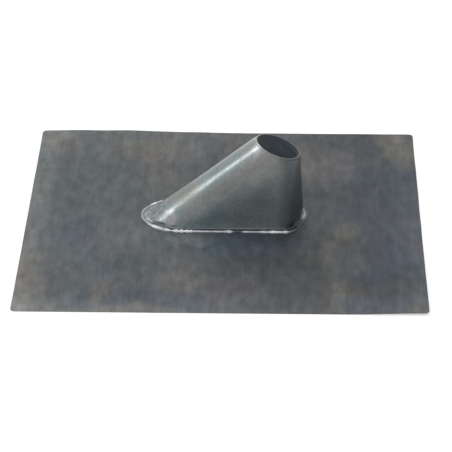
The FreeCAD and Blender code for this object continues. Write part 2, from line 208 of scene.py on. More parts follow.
def add_piece(name, mesh, materials, node):
    piece = bpy.data.objects.new(name, mesh)
    bpy.context.scene.collection.objects.link(piece)
    for material in materials:
        mesh.materials.append(material)
    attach(piece, "root")
    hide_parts(node)


# The folded sleeve. Its inside is the hem's inner half, the lip and the inner wall.
WALL_ROWS, BEND_ROWS, HEM_ROWS, LIP_ROWS = 36, 8, 8, 3
INSIDE_ROWS = HEM_ROWS // 2 + LIP_ROWS + WALL_ROWS + 1
WALL_WOBBLE, WOBBLE_SCALE = 0.35 * MM, 28.0
SOFT_REACH, SOFT_STEP = 24, 4
SOFT_UNTIL, FIRM_FROM = -20 * MM, 40 * MM

# The foot's bend is tight along the sides, but flares up the nose and the heel, and the ridge bulges. A zone
# is the range of how squarely the wall faces that way, from 0 to 1, over which the change comes.
BEND_OUT, BEND_UP = 2.2 * MM, 2.2 * MM
HEEL_BEND_OUT, HEEL_BEND_UP, HEEL_ZONE = 5 * MM, 13 * MM, (0.7, 0.95)
NOSE_BEND_OUT, NOSE_BEND_UP, NOSE_ZONE = 3 * MM, 17 * MM, (0.4, 0.9)
RIDGE_BULGE, RIDGE_ZONE, BULGE_POWER = 2.4 * MM, (0.3, 0.9), 0.5


def wall_end(station):
    return mouth_point(station, MOUTH_RADIUS, -HEM_DEPTH)


def wall_point(station, share):
    point = lerp(foot_point(station, 0, SHEET), wall_end(station), share)
    out = lerp(station.out, mouth_out(station), share).normalized()
    arch = math.sin(math.pi * share)
    hand_made = WALL_WOBBLE * noise.noise(point * WOBBLE_SCALE) * arch
    bulge = RIDGE_BULGE * smooth_step(*RIDGE_ZONE, -station.out.x) * max(arch, 0) ** BULGE_POWER
    return point + out * (hand_made + bulge)


def softened(stations, ring, share):
    # Folding by hand rounds off the change from the nose's bends to the flat sides, most at half height
    steps = range(-SOFT_REACH, SOFT_REACH + 1, SOFT_STEP)
    points = []
    for number, (station, point) in enumerate(zip(stations, ring)):
        amount = math.sin(math.pi * share) * (1 - smooth_step(SOFT_UNTIL, FIRM_FROM, station.foot.x))
        if amount > 0:
            near = [ring[(number + step) % len(ring)] for step in steps]
            point = lerp(point, sum(near, Vector()) / len(near), amount)
        points.append(point)
    return points


def sleeve_rows(stations):
    def ring(place, *sizes):
        return [place(station, *sizes) for station in stations]

    def corner_share(station):
        return SHEET / (wall_end(station).z - SHEET)

    def bend_reach(station):
        heel, nose = smooth_step(*HEEL_ZONE, station.out.x), smooth_step(*NOSE_ZONE, -station.out.x)
        reach_out = BEND_OUT + (HEEL_BEND_OUT - BEND_OUT) * heel + (NOSE_BEND_OUT - BEND_OUT) * nose
        reach_up = BEND_UP + (HEEL_BEND_UP - BEND_UP) * heel + (NOSE_BEND_UP - BEND_UP) * nose
        return reach_out, reach_up

    def bend_point(station, share):
        reach_out, reach_up = bend_reach(station)
        corner = wall_point(station, corner_share(station))
        up_wall = (wall_point(station, 1) - corner).normalized()
        flat_end, steep_end = corner + station.out * reach_out, corner + up_wall * reach_up
        return lerp(lerp(flat_end, corner, share), lerp(corner, steep_end, share), share)

    def outer_point(station, share):
        corner = wall_point(station, corner_share(station))
        length = (wall_point(station, 1) - corner).length
        first = lerp(corner_share(station), 1, bend_reach(station)[1] / length)
        return wall_point(station, lerp(first, 1, share))

    def hem_point(station, turn):
        radius = MOUTH_BORE + HEM_HALF + HEM_HALF * math.cos(turn)
        return mouth_point(station, radius, HEM_HALF * math.sin(turn) - HEM_HALF)

    def inner_point(station, share):
        foot = foot_point(station, -SHEET, SHEET)
        return lerp(mouth_point(station, MOUTH_RADIUS - SHEET, -HEM_DEPTH), foot, share)

    shares = [step / WALL_ROWS for step in range(WALL_ROWS + 1)]
    rows = [ring(foot_point, FLANGE, SHEET), ring(foot_point, FLANGE, 2 * SHEET)]
    rows += [ring(bend_point, step / BEND_ROWS) for step in range(BEND_ROWS + 1)]
    rows += [softened(stations, ring(outer_point, share), share) for share in shares[1:]]
    rows += [ring(hem_point, math.pi * step / HEM_ROWS) for step in range(HEM_ROWS + 1)]
    rows += [
        ring(mouth_point, MOUTH_BORE, -LIP_DEPTH),
        ring(mouth_point, MOUTH_BORE + SHEET, -LIP_DEPTH),
        ring(mouth_point, MOUTH_BORE + SHEET, -HEM_DEPTH),
    ]
    rows += [softened(stations, ring(inner_point, share), share) for share in shares]
    return rows


# The flat sheet
EDGE_STEP = 5 * MM
CORNER_RADIUS, CORNER_STEPS = 6 * MM, 6
SHEET_ROWS = 46

# How uneven it is, and at what scale or where. The front right corner curls up, and the back edge stands up
# on the left, ripples, and falls away to the right. All lifts come in between the opening and the edge.
LIFT_SHARE = (0.15, 1.0)
SHEET_LIFT, LIFT_SCALE = 0.3 * MM, 5.0
CURL_LIFT, CURL_X, CURL_Y = 2.3 * MM, (0.14, 0.25), (0.05, 0.25)
BACK_LIFT, BACK_COMES, BACK_GOES = 1.1 * MM, (-0.25, -0.19), (-0.15, -0.06)
BACK_Y = (0.12, 0.25)
RIPPLE_LIFT, RIPPLE_SCALE = 0.8 * MM, 27.0
EDGE_WANDER, WANDER_SCALE = 0.5 * MM, 22.0
BACK_BOW, BOW_X = 3.4 * MM, (-0.15, 0.05)


def sheet_edge():
    # Points round the edge of the sheet, with rounded corners, from the front left corner on
    half_x, half_y = plate_high.x - CORNER_RADIUS, plate_high.y - CORNER_RADIUS
    corners = [(-half_x, -half_y, 180), (half_x, -half_y, 270), (half_x, half_y, 0), (-half_x, half_y, 90)]

    def corner_point(corner, share):
        x, y, first = corner
        angle = math.radians(first + QUARTER_TURN * share)
        return Vector((x, y, 0)) + CORNER_RADIUS * Vector((math.cos(angle), math.sin(angle), 0))

    points = []
    for corner, following in zip(corners, corners[1:] + corners[:1]):
        points += [corner_point(corner, step / CORNER_STEPS) for step in range(CORNER_STEPS + 1)]
        start, stop = points[-1], corner_point(following, 0)
        pieces = int((stop - start).length / EDGE_STEP)
        points += [lerp(start, stop, piece / pieces) for piece in range(1, pieces)]
    return points


def opening_point(outline, towards):
    # Where the line from the middle of the sleeve to a place on the edge crosses the opening's outline
    def turned(angle):
        return (angle + math.pi) % (2 * math.pi) - math.pi

    want = math.atan2(towards.y - SETBACK, towards.x)
    for first, last in zip(outline, outline[1:] + outline[:1]):
        low, high = math.atan2(first.y, first.x), math.atan2(last.y, last.x)
        span, ahead = turned(high - low), turned(want - low)
        if span > 0 and 0 <= ahead <= span:
            return SLEEVE_MIDDLE + lerp(first, last, ahead / span)


def sheet_rows(stations):
    def wave(point, scale):
        return 0.5 + 0.5 * noise.noise(point * scale)

    def lift(point, share):
        curl = smooth_step(*CURL_X, point.x) * smooth_step(*CURL_Y, -point.y)
        left = smooth_step(*BACK_COMES, point.x) * (1 - smooth_step(*BACK_GOES, point.x))
        back = smooth_step(*BACK_Y, point.y)
        height = SHEET_LIFT * wave(point, LIFT_SCALE) + CURL_LIFT * curl + BACK_LIFT * left * back
        height += RIPPLE_LIFT * wave(point, RIPPLE_SCALE) * back * back
        return height * smooth_step(*LIFT_SHARE, share)

    def wander(point):
        point = point * (1 - EDGE_WANDER * wave(point, WANDER_SCALE) / plate_high.x)
        bow = smooth_step(*BOW_X, point.x) * smooth_step(*BACK_Y, point.y)
        return point - ACROSS * (BACK_BOW * bow)

    edge = [wander(point) for point in sheet_edge()]
    outline = [foot_point(station, -SHEET, 0) - SLEEVE_MIDDLE for station in stations]
    opening = [opening_point(outline, point) for point in edge]
    rows = []
    for step in range(SHEET_ROWS + 1):
        share = step / SHEET_ROWS
        row = [lerp(first, last, share) for first, last in zip(opening, edge)]
        rows.append([point + UP * lift(point, share) for point in row])
    top = [[point + UP * SHEET for point in row] for row in rows]
    return top + rows[::-1]


# The solder round the flange: its usual size, its lumps, and its size at the heel and the nose
BEAD_ROWS = 10
BEAD_HALF_WIDTH, BEAD_HEIGHT = 2.0 * MM, 1.5 * MM
USUAL_BEAD, LEAST_BEAD = 0.75, 0.25
LUMP, LUMP_SCALE = 0.2, 90.0
FINE_LUMP, FINE_LUMP_SCALE = 0.15, 320.0
HEEL_BEAD, NOSE_BEAD, BEAD_ZONE = 0.5, 1.35, (0.2, 0.7)
FRONT_SPREAD, FRONT_ZONE = 1.0 * MM, (0.2, 0.9)

# Lumps of solder along the front, and the gap in it: place and reach in millimetres, and what each adds
FRONT_LUMPS = [
    (-82, 12, 0.5), (-72, 6, 0.5), (-65, 3, -0.4), (-59, 4, 0.9), (-52, 4, 0.9), (-45, 3, 0.8), (-40, 3, 0.6),
    (7, 7, 0.9), (18, 9, -0.9), (36, 16, -0.2), (51, 5, 0.7), (62, 6, 0.7), (70, 5, 0.4), (77, 5, 0.9),
    (87, 6, 0.2),
]


def bead_rows(stations):
    def amount(station):
        place = foot_point(station, FLANGE, 0)
        size = USUAL_BEAD + LUMP * noise.noise(place * LUMP_SCALE)
        size += FINE_LUMP * noise.noise(place * FINE_LUMP_SCALE)
        size *= lerp(1.0, HEEL_BEAD, smooth_step(*BEAD_ZONE, station.out.x))
        size *= lerp(1.0, NOSE_BEAD, smooth_step(*BEAD_ZONE, -station.out.x))
        if place.y < SETBACK:
            for x, reach, extra in FRONT_LUMPS:
                size += extra * (1 - smooth_step(0, reach * MM, abs(place.x - x * MM)))
        return max(size, LEAST_BEAD)

    def dome_point(station, turn):
        size = amount(station)
        middle = FLANGE + FRONT_SPREAD * smooth_step(*FRONT_ZONE, -station.out.y)
        offset = middle + BEAD_HALF_WIDTH * size * math.cos(turn)
        return foot_point(station, offset, SHEET + (SHEET + BEAD_HEIGHT * size) * math.sin(turn))

    turns = [math.pi * step / BEAD_ROWS for step in range(BEAD_ROWS + 1)]
    return [[dome_point(station, turn) for station in stations] for turn in turns]


# The lapped seam up the heel and its solder, and the shares of the wall's height between which they run
LAP_WIDTH, LAP_START, LAP_RISE_WIDTH = 12 * MM, -4 * MM, 5 * MM
LAP_COLUMNS, SEAM_ROWS = 14, 60
LAP_RUN, SEAM_BEAD_RUN = (0.10, 1.0), (0.10, 0.9)
SEAM_BEAD_WIDTH, SEAM_BEAD_RISE, SEAM_BEAD_COLUMNS = 2 * MM, SHEET * 1.3, 8
SEAM_LUMP, SEAM_LUMP_SCALE = 0.3, 30
DOME_POWER = 0.5
SEARCH_STEPS = 30


def heel_point(y, share, proud):
    # A place on the heel's wall, at a distance across from its middle, lifted off the wall
    heel_turn = math.radians(QUARTER_TURN - shoulder(HEEL_LENGTH, HEEL_RADIUS)[0])
    low, high = -1.0, 1.0
    for _ in range(SEARCH_STEPS):
        middle = (low + high) / 2
        turn = middle * heel_turn
        out = Vector((math.cos(turn), math.sin(turn), 0))
        foot = Vector((HEEL_REACH - HEEL_RADIUS, SETBACK, 0)) + out * HEEL_RADIUS
        station = Station(foot, out, middle * math.radians(HEEL_FOLD))
        point = wall_point(station, share)
        if point.y - SETBACK < y:
            low = middle
        else:
            high = middle
    return point + lerp(out, mouth_out(station), share).normalized() * proud


def strip_mesh(name, columns, run):
    # A closed strip up the heel. Its columns at a height are places across, and how proud each stands.
    rows = []
    for step in range(SEAM_ROWS + 1):
        share = lerp(*run, step / SEAM_ROWS)
        rows.append([heel_point(y, share, proud) for y, proud in columns(share)])
    count = len(rows[0])
    last = SEAM_ROWS * count
    faces = []
    for row in range(SEAM_ROWS):
        faces += ring_faces(row * count, (row + 1) * count, count)
    faces += [tuple(range(count))[::-1], tuple(range(last, last + count))]
    return smooth_mesh(name, rows, faces)


def lap_columns(_):
    # The lap is the same at every height
    across = [lerp(LAP_START, LAP_WIDTH, step / LAP_COLUMNS) for step in range(LAP_COLUMNS + 1)]
    top = [(y, SHEET * smooth_step(LAP_START, LAP_START + LAP_RISE_WIDTH, y)) for y in across]
    return top + [(LAP_WIDTH, -SHEET / 2), (LAP_START, -SHEET / 2)]


def seam_bead_columns(share):
    rise = SEAM_BEAD_RISE * (1 + SEAM_LUMP * noise.noise(Vector((share * SEAM_LUMP_SCALE, 0, 0))))
    steps = [step / SEAM_BEAD_COLUMNS for step in range(1, SEAM_BEAD_COLUMNS)]
    first, last = LAP_WIDTH - SEAM_BEAD_WIDTH / 2, LAP_WIDTH + SEAM_BEAD_WIDTH
    top = [(lerp(first, last, step), rise * math.sin(math.pi * step) ** DOME_POWER) for step in steps]
    return [(first, 0.0)] + top + [(last, -SHEET / 4)]


# Materials
WHOLE = (0.0, 1.0)
CLOUD_SPREAD, OVAL_SPREAD = (0.3, 0.7), (0.0, 0.6)
EVEN, DRAWN = (1, 1, 1), (1, 0.45, 1)
RAGGED_DETAIL = 4.0


class Shader:
    # A Principled material, built from its nodes
    def __init__(self, name, metallic):
        self.material = bpy.data.materials.new(name)
        self.material.use_nodes = True
        self.tree = self.material.node_tree
        self.surface = self.tree.nodes["Principled BSDF"]
        self.surface.inputs["Metallic"].default_value = metallic
        self.place = self.add("ShaderNodeTexCoord").outputs["Object"]

    def add(self, kind, inputs=None, **settings):
        node = self.tree.nodes.new(kind)
        for setting, value in settings.items():
            setattr(node, setting, value)
        for socket, value in (inputs or {}).items():
            if isinstance(value, bpy.types.NodeSocket):
                self.tree.links.new(value, node.inputs[socket])
            else:
                node.inputs[socket].default_value = value
        return node

    def mapped(self, scale=EVEN, location=(0, 0, 0)):
        inputs = {"Vector": self.place, "Scale": scale, "Location": location}
        return self.add("ShaderNodeMapping", inputs).outputs["Vector"]

    def grain(self, scale, detail, stretch=EVEN, offset=0.0):
        # Noise as it comes
        inputs = {"Vector": self.mapped(stretch, (offset,) * 3), "Scale": scale, "Detail": detail}
        return self.add("ShaderNodeTexNoise", inputs).outputs["Fac"]

    def clouds(self, scale, detail, to=WHOLE, spread=CLOUD_SPREAD, stretch=EVEN, offset=0.0):
        # Noise with a spread of its values drawn out to two others
        return self.between(self.grain(scale, detail, stretch, offset), spread, to)

    def between(self, value, spread, to, ease="LINEAR"):
        (low, high), (to_low, to_high) = spread, to
        inputs = {"Value": value, "From Min": low, "From Max": high, "To Min": to_low, "To Max": to_high}
        return self.add("ShaderNodeMapRange", inputs, interpolation_type=ease).outputs["Result"]

    def band(self, way, low, high, to_low=0.0, to_high=1.0):
        # A soft change along one direction of the object, between two places in millimetres
        reach = self.add("ShaderNodeVectorMath", {0: self.place, 1: way}, operation="DOT_PRODUCT")
        return self.between(reach.outputs["Value"], (low * MM, high * MM), (to_low, to_high), "SMOOTHSTEP")

    def times(self, first, second):
        return self.add("ShaderNodeMath", {0: first, 1: second}, operation="MULTIPLY").outputs["Value"]

    def zone(self, bands):
        # Where several bands meet
        share = self.band(*bands[0])
        for band in bands[1:]:
            share = self.times(share, self.band(*band))
        return share

    def mix(self, share, first, last, blend="MIX"):
        # The colour sockets go by number, because the node's other sockets have the same names
        inputs = {0: share, 6: first, 7: last}
        return self.add("ShaderNodeMix", inputs, data_type="RGBA", blend_type=blend).outputs[2]

    def shaded(self, colour, *factors):
        for factor in factors:
            colour = self.mix(1.0, colour, factor, "MULTIPLY")
        return colour

    def with_wear_and_painted_light(self, colour, wear_and_painted_light):
        for tint, bands, blend in wear_and_painted_light:
            colour = self.mix(self.zone(bands), colour, tint, blend)
        return colour

    def ragged(self, scale, amount, stretch):
        # The object's coordinates, pushed about so that soft shapes get ragged edges
        inputs = {"Vector": self.mapped(stretch), "Scale": scale, "Detail": RAGGED_DETAIL}
        shift = self.add("ShaderNodeTexNoise", inputs).outputs["Color"]
        inputs = {0: shift, 1: (amount,) * 3, 2: self.mapped(location=(-amount / 2,) * 3)}
        return self.add("ShaderNodeVectorMath", inputs, operation="MULTIPLY_ADD").outputs["Vector"]

    def oval(self, vector, place, reach):
        # From 1 in the middle of an oval, as it is seen from above, to 0 at its edge
        inputs = {
            "Vector": vector,
            "Location": (place[0] * MM, place[1] * MM, 0),
            "Scale": (reach[0] * MM, reach[1] * MM, 1),
        }
        inside = self.add("ShaderNodeMapping", inputs, vector_type="TEXTURE").outputs["Vector"]
        return self.add("ShaderNodeTexGradient", {"Vector": inside}, gradient_type="SPHERICAL").outputs["Fac"]

    def with_stains_and_painted_light(self, colour, stains_and_painted_light, vector):
        for tint, strength, ovals in stains_and_painted_light:
            for place, reach in ovals:
                oval = self.oval(vector, place, reach)
                share = self.between(oval, OVAL_SPREAD, (0.0, strength), "SMOOTHSTEP")
                colour = self.mix(share, colour, tint)
        return colour

    def finished(self, colour, roughness, bumps):
        # A bump is a grain, its height in millimetres and its strength, and lies over the bump before it
        normal = None
        for grain, height, strength in bumps:
            inputs = {"Height": grain, "Distance": height * MM, "Strength": strength}
            if normal is not None:
                inputs["Normal"] = normal
            normal = self.add("ShaderNodeBump", inputs).outputs["Normal"]
        for socket, value in (("Base Color", colour), ("Roughness", roughness), ("Normal", normal)):
            self.tree.links.new(value, self.surface.inputs[socket])
        return self.material


def rgb(red, green, blue):
    return (red, green, blue, 1.0)


# Stains on the sheet, and painted shade and light in front of the sleeve: the tint, how strong it is, and
# each oval's place and reach in millimetres
TEAL, WARM, LILAC = rgb(0.062, 0.086, 0.094), rgb(0.126, 0.118, 0.104), rgb(0.114, 0.106, 0.112)
# The navy and dusk tints are painted shade in front of the sleeve, and the pale one is painted light
BLUE, NAVY_PAINTED_SHADE, PALE_PAINTED_LIGHT = rgb(0.042, 0.058, 0.084), rgb(0.080, 0.106, 0.144), rgb(0.140, 0.150, 0.154)
DUSK_PAINTED_SHADE = rgb(0.070, 0.072, 0.082)
SHEET_STAINS_AND_PAINTED_LIGHT = [
    (TEAL, 0.3, [((-188, -75), (40, 210)), ((-176, 182), (40, 55)), ((-150, 85), (75, 110)),
                 ((-115, -125), (45, 40)), ((-5, -80), (35, 30))]),
    (WARM, 0.5, [((-238, -165), (24, 100)), ((-95, 185), (75, 45)), ((-146, -196), (24, 40)),
                 ((-52, -160), (34, 42)), ((160, -33), (38, 34)), ((146, -200), (16, 60)),
                 ((226, 200), (34, 80)), ((-232, 215), (30, 60)), ((-150, -246), (140, 16)),
                 ((142, -104), (42, 60)), ((108, 160), (24, 90))]),
    (LILAC, 0.45, [((-88, 154), (45, 24)), ((-144, -58), (55, 65)), ((141, 137), (44, 75)),
                   ((-20, -190), (90, 50)), ((-57, -110), (60, 40))]),
    (BLUE, 0.42, [((200, 95), (75, 60)), ((196, 20), (85, 70)), ((-75, -218), (85, 36)),
                  ((195, -120), (85, 75)), ((188, -215), (70, 40)), ((214, -55), (45, 60)),
                  ((-181, -52), (34, 50))]),
    # Painted shade on the sheet in front of the sleeve
    (DUSK_PAINTED_SHADE, 0.6, [((58, -100), (75, 52))]),
    (NAVY_PAINTED_SHADE, 0.6, [((22, -66), (82, 52))]),
    # Painted light that pales the shade in front of the sleeve's left half
    (PALE_PAINTED_LIGHT, 0.7, [((-35, -58), (62, 26))]),
]

# The sheet is paler towards its edges: the way to each, how far in that reaches in millimetres, and its most
PALE_EDGES = [(-ALONG, 42, 1.44), (ALONG, 50, 1.35), (-ACROSS, 60, 1.42), (ACROSS, 80, 1.27)]


def weathered_sheet_with_painted_light():
    shader = Shader("weathered_zinc_sheet_with_painted_light", metallic=0.9)
    brown, blue, green = rgb(0.106, 0.100, 0.092), rgb(0.070, 0.082, 0.095), rgb(0.079, 0.090, 0.094)
    browner = shader.clouds(scale=9.0, detail=4.0, spread=(0.34, 0.66), stretch=DRAWN)
    greener = shader.clouds(scale=6.0, detail=4.0, spread=(0.42, 0.62), stretch=DRAWN, offset=3.1)
    colour = shader.mix(greener, shader.mix(browner, blue, brown), green)
    colour = shader.shaded(colour, shader.band(ALONG, -150, 200, 1.07, 0.64))
    # Stains, and the painted shade and light in front of the sleeve
    colour = shader.with_stains_and_painted_light(colour, SHEET_STAINS_AND_PAINTED_LIGHT, shader.ragged(scale=18.0, amount=90 * MM, stretch=DRAWN))
    streaks = shader.clouds(scale=9.0, detail=5.0, to=(1.02, 1.28), stretch=(7, 1, 1))
    lines = shader.clouds(scale=28.0, detail=4.0, to=(0.92, 1.08), stretch=(9, 1, 1), offset=5.5)
    mottle = shader.clouds(scale=90.0, detail=6.0, to=(0.81, 1.19), stretch=DRAWN)
    edge = plate_high.x / MM
    edges = [shader.band(way, edge - reach, edge, 1.0, most) for way, reach, most in PALE_EDGES]
    colour = shader.shaded(colour, streaks, lines, mottle, *edges)
    roughness = shader.clouds(scale=11.0, detail=5.0, to=(0.48, 0.64), offset=7.7)
    dents, pores = shader.grain(scale=18.0, detail=2.0, offset=1.3), shader.grain(scale=400.0, detail=3.0)
    return shader.finished(colour, roughness, [(dents, 1.2, 0.5), (pores, 0.12, 0.5)])


# Directions across the sleeve: square to its ridge, up its front, and from the nose to the foot of the heel.
# Then, in millimetres up the mouth's axis, the rim, its edge and the foot of the lip.
OFF_RIDGE, UP_FRONT, TO_HEEL = (-0.62, 0, 0.785), (-0.41, 0, 0.91), (0.92, 0, -0.39)
RIM = MOUTH_AXIS.dot(MOUTH_CENTRE) / MM
RIM_EDGE = (RIM - 1.0, RIM - 0.2)
LIP_FOOT = RIM - LIP_DEPTH / MM

# One zone of wear, of dirt, of painted light and of painted shade: its tint, and the bands that meet there. A
# band is a direction, two places along it in millimetres, and its strength at each, which is from 0 to 1
# where none is given.
WearAndPaintedLight = namedtuple("WearAndPaintedLight", "tint bands blend", defaults=["MIX"])
PAINTED_SHADE, DIRT_AND_SHADE, BRIGHT = rgb(0.074, 0.092, 0.103), rgb(0.09, 0.10, 0.10), rgb(0.40, 0.42, 0.415)
SLEEVE_WEAR_AND_PAINTED_LIGHT = [
    # Low on the front, a teal tint that is partly painted light; a blue tint on the front flank of the nose;
    # and painted light high on the front
    WearAndPaintedLight(rgb(0.21, 0.30, 0.325), [(OFF_RIDGE, 18, 36, 0.7, 0), (TO_HEEL, -40, 20, 1, 0)]),
    WearAndPaintedLight(rgb(1.02, 1.11, 1.16), [(ALONG, -40, -18, 1, 0), (ACROSS, -32, -20, 1, 0)], "MULTIPLY"),
    WearAndPaintedLight(rgb(0.33, 0.345, 0.335), [(UP_FRONT, 28, 48, 0, 0.5), (ALONG, 20, 50)]),
    # Painted shade low on the front, low at its right, and on the heel
    WearAndPaintedLight(PAINTED_SHADE, [(UP_FRONT, 4, 46, 0.45, 0), (UP, 3, 18, 0.35, 1)]),
    WearAndPaintedLight(PAINTED_SHADE, [(ALONG, 36, 62, 0, 0.35), (UP, 6, 24, 1, 0)]),
    WearAndPaintedLight(PAINTED_SHADE, [(ALONG, 64, 84, 0, 0.8)]),
    # A brown band beside the ridge, partly painted shade just below the ridge's highlight
    WearAndPaintedLight(rgb(0.175, 0.165, 0.148), [(OFF_RIDGE, 32, 42, 0, 0.55), (OFF_RIDGE, 46, 53, 1, 0)]),
    # Darker on the flange; painted shade in the heel's front corner, which is darkest low down, and under the
    # nose
    WearAndPaintedLight(DIRT_AND_SHADE, [(UP, 2.4, 4.4, 0.6, 0), (ALONG, -60, -46)]),
    WearAndPaintedLight(DIRT_AND_SHADE, [(ALONG, 66, 84), (UP, 5, 14, 0.9, 0), (ACROSS, -10, -3, 1, 0)]),
    WearAndPaintedLight(DIRT_AND_SHADE, [(UP, 2.6, 5, 0.95, 0), (ACROSS, -22, -12, 1, 0), (ALONG, -70, -58, 1, 0)]),
    WearAndPaintedLight(rgb(0.036, 0.04, 0.046), [(ALONG, 74, 86), (UP, 3, 12, 0.85, 0), (ACROSS, -12, -5, 1, 0)]),
    # Painted shade in the crease along the front of the nose's foot
    WearAndPaintedLight(rgb(0.05, 0.055, 0.068), [(UP, 2.8, 3.6), (UP, 4.4, 5.6, 1, 0), (ALONG, -90, -82),
                                   (ALONG, -64, -52, 1, 0), (ACROSS, -24, -12, 0.85, 0)]),
    # The rim, a bright line along the nose's foot, and a painted highlight on the rim over the ridge
    WearAndPaintedLight(rgb(0.12, 0.135, 0.14), [(MOUTH_AXIS, *RIM_EDGE, 0, 0.85)]),
    WearAndPaintedLight(BRIGHT, [(UP, 1.7, 1.9), (UP, 2.2, 2.8, 1, 0), (ALONG, -78, -60, 0.9, 0), (ACROSS, -24, -14)]),
    WearAndPaintedLight(BRIGHT, [(MOUTH_AXIS, *RIM_EDGE), (ALONG, 36, 52, 0.95, 0)]),
]
# Where the heel's foot has a painted highlight in patches
HEEL_FOOT_HIGHLIGHT = [(ALONG, 94, 101), (UP, 6, 18, 0.9, 0), (ACROSS, -10, 1), (UP, 1.75, 2.4)]
# Painted light on the sleeve: a pale lilac reflection low on the nose's front flank, and painted highlights
# on the ridge near the nose's foot and under the rim
SLEEVE_PAINTED_LIGHT = [
    (rgb(0.33, 0.32, 0.345), 0.6, [((-66, -28), (11, 6))]),
    (rgb(0.54, 0.57, 0.60), 0.42, [((-65, -21), (5, 4)), ((-74, -20), (13, 5)), ((42, -13), (8, 11))]),
]

# Least and most roughness, off the ridge and on it, and the roughness of the nose's end
LEAST_ROUGH, MOST_ROUGH, NOSE_ROUGH = (0.40, 0.21), (0.52, 0.34), 0.55


def worn_sleeve_with_painted_light():
    shader = Shader("worn_zinc_sleeve_with_painted_light", metallic=0.95)
    dull, clean, brown = rgb(0.188, 0.222, 0.229), rgb(0.267, 0.296, 0.294), rgb(0.235, 0.225, 0.205)
    cleaner = shader.clouds(scale=24.0, detail=4.0, spread=(0.35, 0.65))
    browner = shader.clouds(scale=17.0, detail=3.0, spread=(0.5, 0.8), offset=4.2)
    colour = shader.with_wear_and_painted_light(shader.mix(browner, shader.mix(cleaner, dull, clean), brown), SLEEVE_WEAR_AND_PAINTED_LIGHT)
    # The painted highlight in patches along the heel's foot
    patchy = shader.clouds(scale=110.0, detail=4.0, to=(0.5, 1.2), spread=(0.36, 0.56))
    colour = shader.mix(shader.times(shader.zone(HEEL_FOOT_HIGHLIGHT), patchy), colour, BRIGHT)
    # The painted reflection and highlights on the sleeve
    colour = shader.with_stains_and_painted_light(colour, SLEEVE_PAINTED_LIGHT, shader.place)
    colour = shader.shaded(colour, shader.clouds(scale=260.0, detail=5.0, to=(0.88, 1.12)))
    marks = shader.clouds(scale=190.0, detail=3.0, to=(0.70, 1.26), spread=(0.35, 0.65), offset=6.4)
    colour = shader.mix(shader.band(ALONG, -80, -66, 1, 0), colour, shader.shaded(colour, marks))
    ridge = shader.zone([(OFF_RIDGE, 36, 54), (ALONG, -60, 0, 0.55, 1)])
    rough = [shader.between(ridge, WHOLE, ends) for ends in (LEAST_ROUGH, MOST_ROUGH)]
    ground = shader.clouds(scale=40.0, detail=5.0, to=rough, offset=9.1)
    roughness = shader.band(ALONG, -90, -76, NOSE_ROUGH, ground)
    dents, pores = shader.grain(scale=45.0, detail=2.0, offset=2.3), shader.grain(scale=500.0, detail=3.0)
    return shader.finished(colour, roughness, [(dents, 0.6, 0.35), (pores, 0.08, 0.5)])


# Inside the sleeve: warmer on the nose's side, and painted shade on the lip
INSIDE_WEAR_AND_PAINTED_SHADE = [
    WearAndPaintedLight(rgb(0.315, 0.29, 0.285), [(ALONG, 38, 62, 0.8, 0)]),
    WearAndPaintedLight(rgb(0.06, 0.07, 0.08), [(MOUTH_AXIS, LIP_FOOT - 3, LIP_FOOT + 5, 0, 0.75)]),
]


def dirty_inside_with_painted_shade():
    shader = Shader("dirty_zinc_inside_with_painted_shade", metallic=0.5)
    grime, dust = rgb(0.19, 0.235, 0.285), rgb(0.26, 0.30, 0.345)
    dustier = shader.clouds(scale=60.0, detail=5.0, spread=(0.35, 0.65))
    colour = shader.with_wear_and_painted_light(shader.mix(dustier, grime, dust), INSIDE_WEAR_AND_PAINTED_SHADE)
    roughness = shader.clouds(scale=80.0, detail=3.0, to=(0.55, 0.75))
    return shader.finished(colour, roughness, [(shader.grain(scale=300.0, detail=3.0), 0.1, 0.5)])


# The solder is blackened at the heel and in its gap, duller at the nose, and has painted highlights on the
# front's lumps and at the nose's front
BLACKENED, LEADEN, PAINTED_HIGHLIGHT = rgb(0.10, 0.11, 0.115), rgb(0.40, 0.40, 0.45), rgb(0.92, 0.93, 0.93)
SOLDER_WEAR = [
    WearAndPaintedLight(BLACKENED, [(ALONG, 76, 84, 0, 0.95)]),
    WearAndPaintedLight(rgb(0.29, 0.29, 0.295), [(ALONG, -98, -88, 0.9, 0)]),
]
SOLDER_STAINS_AND_HIGHLIGHTS = [
    (LEADEN, 0.6, [((-10, -42), (42, 10))]),
    (LEADEN, 0.5, [((36, -42), (26, 10))]),
    (BLACKENED, 0.95, [((18, -42), (9, 10))]),
    (PAINTED_HIGHLIGHT, 0.25, [((-80, -30), (15, 12)), ((66, -42), (22, 10))]),
    (PAINTED_HIGHLIGHT, 0.38, [((-53, -42), (20, 10))]),
]


def run_solder():
    shader = Shader("hand_run_solder", metallic=0.85)
    dull, bright = rgb(0.34, 0.34, 0.345), rgb(0.69, 0.69, 0.70)
    brighter = shader.clouds(scale=120.0, detail=4.0, spread=(0.35, 0.6))
    colour = shader.with_wear_and_painted_light(shader.mix(brighter, dull, bright), SOLDER_WEAR)
    colour = shader.with_stains_and_painted_light(colour, SOLDER_STAINS_AND_HIGHLIGHTS, shader.place)
    roughness = shader.clouds(scale=200.0, detail=3.0, to=(0.22, 0.42))
    return shader.finished(colour, roughness, [(shader.grain(scale=600.0, detail=3.0), 0.15, 0.6)])


# Stage, light and camera
FLOOR_HALF, FLOOR_DROP = 6.0, 0.1 * MM
FLOOR_COLOUR, FLOOR_ROUGH, FLOOR_GLOW = 0.80, 0.9, 0.52
WHITE, FILL = rgb(1, 1, 1), 0.55
LIGHT_AIM = SLEEVE_MIDDLE + UP * 40 * MM
KEY_WATTS, KEY_WIDTH = 2.4, 0.50
KEY_WAY, KEY_UP, KEY_FAR = 170, 38, 1.7
TOP_WATTS, TOP_WIDTH = 6.0, 1.6
TOP_PLACE = Vector((0.1, 0.9, 1.7))


